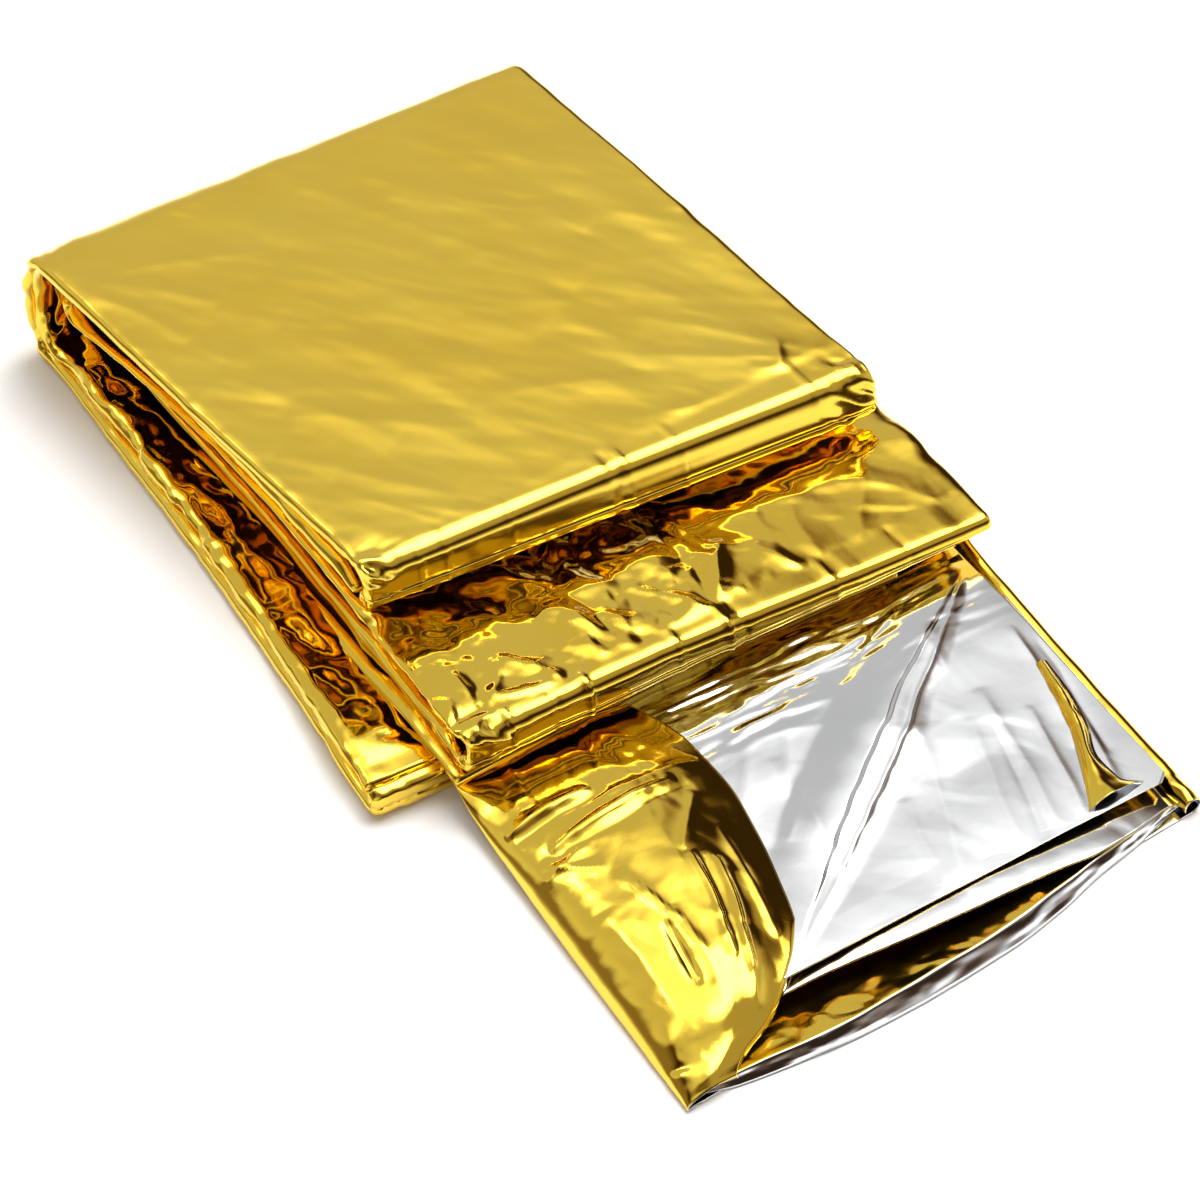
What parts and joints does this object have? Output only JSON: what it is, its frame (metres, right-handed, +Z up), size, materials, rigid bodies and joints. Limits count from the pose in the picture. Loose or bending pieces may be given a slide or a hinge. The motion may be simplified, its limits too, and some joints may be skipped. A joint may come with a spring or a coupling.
{
  "type": "emergency foil blanket",
  "caption": "Emergency foil blanket folded lengthwise into a strip and laid back and forth, with one end of the strip opened like a mouth.",
  "frame": {"origin": "middle of the outline seen from above, on the surface the folded blanket lies on", "axes": "+Y along the runs towards the closed back fold, -Y towards the opened mouth, +X to the right across the strip, +Z up"},
  "size_m": [0.33, 0.5502, 0.0622],
  "materials": {
    "gold_foil": "thin metallised film, mirror gold outside and silver inside, finely creased"
  },
  "bodies": {
    "root": {"foil_blanket": "gold_foil"}
  },
  "joints": []
}
